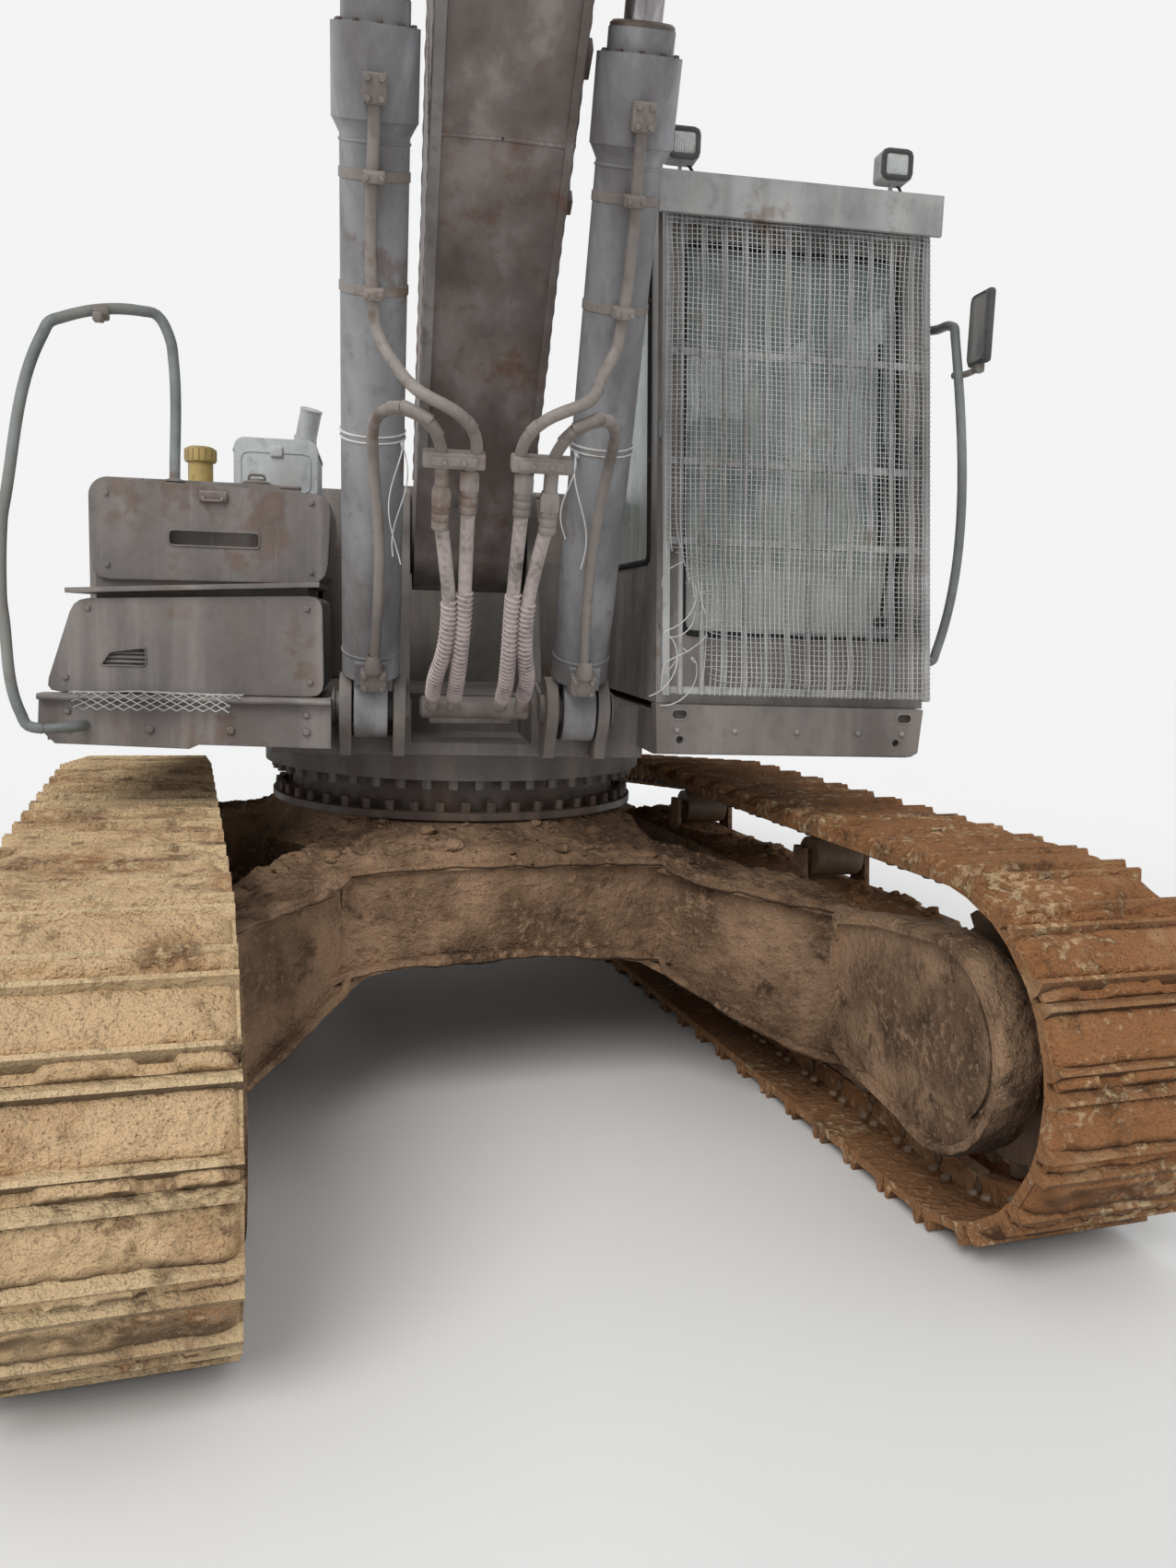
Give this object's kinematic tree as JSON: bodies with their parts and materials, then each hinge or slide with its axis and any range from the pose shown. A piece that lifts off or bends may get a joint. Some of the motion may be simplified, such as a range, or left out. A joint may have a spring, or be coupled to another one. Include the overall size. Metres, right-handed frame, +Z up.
{
  "type": "crawler excavator",
  "caption": "Crawler excavator with long arm: tracks, slewing upper structure, guarded cab, boom, arm and bucket on hydraulic cylinders",
  "frame": {"origin": "on the slew axis at ground level", "axes": "+Z up along the slew axis, front of the upper structure towards -Y, cab towards +X"},
  "size_m": [3.9256, 10.6578, 6.5897],
  "materials": {
    "clay_frame": "caked in dry clay",
    "clay_track": "caked in dry clay",
    "clay_steel": "worn, with clay",
    "greasy_steel": "dark, greasy and dusty",
    "dusty_paint": "faded grey-brown paint under dust",
    "dusty_iron": "dusty paint",
    "engine_iron": "plain block",
    "yellow_cap": "dusty yellow",
    "pale_plastic": "pale, clouded",
    "rusty_panel": "dented, dusty, with rust",
    "grey_tube": "pale grey, scuffed",
    "rusty_pipe": "rusty",
    "cab_paint": "dusty grey",
    "cab_glass": "dusty green tint",
    "seat_black": "worn black",
    "guard_steel": "dusty welded bars",
    "boom_paint": "dark rusty brown under dust",
    "barrel_paint": "dusty dark grey",
    "rod_chrome": "dusty, brown streaks",
    "bucket_steel": "worn and rusty"
  },
  "bodies": {
    "undercarriage": {"x_frame": "clay_frame", "frame_legs": "clay_frame", "left_track_frame": "clay_frame", "right_track_frame": "clay_frame", "left_track": "clay_track", "right_track": "clay_track", "sprockets": "clay_steel", "idlers": "clay_steel", "rollers": "clay_steel", "motor_guards": "clay_frame", "slew_ring": "greasy_steel"},
    "upper": {"upper_frame": "dusty_paint", "counterweight": "dusty_iron", "engine_block": "engine_iron", "engine_housing": "dusty_paint", "tanks": "dusty_paint", "filler_neck": "yellow_cap", "rear_box": "pale_plastic", "tool_box": "rusty_panel", "front_step": "rusty_panel", "handrails": "grey_tube", "exhaust": "rusty_pipe", "cab_shell": "cab_paint", "cab_glass": "cab_glass", "cab_seat": "seat_black", "front_guard": "guard_steel", "roof_visor": "guard_steel", "cab_skirt": "dusty_paint", "cab_rail": "grey_tube"},
    "hood": {"engine_hood": "dusty_paint"},
    "left_door": {"left_side_door": "dusty_paint"},
    "right_door": {"right_side_door": "dusty_paint"},
    "cab_entry": {"cab_door": "cab_paint", "door_glass": "cab_glass"},
    "boom_arm": {"boom": "boom_paint"},
    "lift_barrels": {"boom_barrels": "barrel_paint", "boom_pipes": "barrel_paint"},
    "lift_rods": {"boom_rods": "rod_chrome"},
    "crowd_barrel": {"arm_barrel": "barrel_paint"},
    "crowd_rod": {"arm_rod": "rod_chrome"},
    "dipper": {"arm": "boom_paint"},
    "curl_barrel": {"bucket_barrel": "barrel_paint"},
    "curl_rod": {"bucket_rod": "rod_chrome"},
    "rocker": {"bucket_rocker": "boom_paint"},
    "link": {"bucket_link": "boom_paint"},
    "scoop": {"bucket": "bucket_steel"}
  },
  "joints": [
    {"name": "slew", "type": "hinge", "parent": "undercarriage", "child": "upper", "pos_m": [0, 0, 1.08], "axis": [0, 0, 1], "continuous": true},
    {"name": "boom_lift", "type": "hinge", "parent": "upper", "child": "boom_arm", "pos_m": [0, -0.45, 2.1], "axis": [-1, 0, 0], "range_deg": [-73, 37]},
    {"name": "lift_barrel_turn", "type": "hinge", "parent": "upper", "child": "lift_barrels", "pos_m": [0, -1.06, 1.484], "axis": [-1, 0, 0], "range_deg": [-90, 40]},
    {"name": "lift_rod_slide", "type": "slide", "parent": "lift_barrels", "child": "lift_rods", "axis": [0, -0.3707, 0.9287], "range_m": [-1.2, 0.6]},
    {"name": "arm_crowd", "type": "hinge", "parent": "boom_arm", "child": "dipper", "pos_m": [0, -5.82187, 5.57893], "axis": [1, 0, 0], "range_deg": [-87, 32]},
    {"name": "crowd_barrel_turn", "type": "hinge", "parent": "boom_arm", "child": "crowd_barrel", "pos_m": [0, -2.39211, 5.26397], "axis": [1, 0, 0], "range_deg": [-10, 10]},
    {"name": "crowd_rod_slide", "type": "slide", "parent": "crowd_barrel", "child": "crowd_rod", "axis": [0, -0.9484, 0.3172], "range_m": [-1.4, 0.6]},
    {"name": "bucket_curl", "type": "hinge", "parent": "dipper", "child": "scoop", "pos_m": [0, -6.35782, 1.615], "axis": [1, 0, 0], "range_deg": [-48, 127]},
    {"name": "rocker_turn", "type": "hinge", "parent": "dipper", "child": "rocker", "pos_m": [0, -6.31332, 2.09335], "axis": [1, 0, 0], "range_deg": [-40, 90]},
    {"name": "link_turn", "type": "hinge", "parent": "scoop", "child": "link", "pos_m": [0, -6.83053, 1.69835], "axis": [1, 0, 0], "range_deg": [-100, 50]},
    {"name": "curl_barrel_turn", "type": "hinge", "parent": "dipper", "child": "curl_barrel", "pos_m": [0, -6.54054, 4.667], "axis": [1, 0, 0], "range_deg": [-10, 10]},
    {"name": "curl_rod_slide", "type": "slide", "parent": "curl_barrel", "child": "curl_rod", "axis": [0, -0.1614, -0.9869], "range_m": [-0.5, 0.95]},
    {"name": "cab_door_swing", "type": "hinge", "parent": "upper", "child": "cab_entry", "pos_m": [1.574, -0.15, 2.2], "axis": [0, 0, 1], "range_deg": [0, 150]},
    {"name": "left_door_swing", "type": "hinge", "parent": "upper", "child": "left_door", "pos_m": [1.534, 1.47, 1.9], "axis": [0, 0, -1], "range_deg": [0, 110]},
    {"name": "right_door_swing", "type": "hinge", "parent": "upper", "child": "right_door", "pos_m": [-1.534, 1.47, 1.9], "axis": [0, 0, 1], "range_deg": [0, 110]},
    {"name": "hood_lift", "type": "hinge", "parent": "upper", "child": "hood", "pos_m": [0.1, 1.43, 2.455], "axis": [1, 0, 0], "range_deg": [0, 70]}
  ],
  "couplings": [
    {"joint": "lift_barrel_turn", "follows": "boom_lift", "ratio": 0.9727},
    {"joint": "lift_rod_slide", "follows": "boom_lift", "m_per_rad": 0.7594},
    {"joint": "crowd_barrel_turn", "follows": "arm_crowd", "ratio": 0.0302},
    {"joint": "crowd_rod_slide", "follows": "arm_crowd", "m_per_rad": 0.8114},
    {"joint": "rocker_turn", "follows": "bucket_curl", "ratio": 0.635},
    {"joint": "link_turn", "follows": "bucket_curl", "ratio": -0.67},
    {"joint": "curl_barrel_turn", "follows": "bucket_curl", "ratio": 0.0233},
    {"joint": "curl_rod_slide", "follows": "bucket_curl", "m_per_rad": 0.3713}
  ]
}
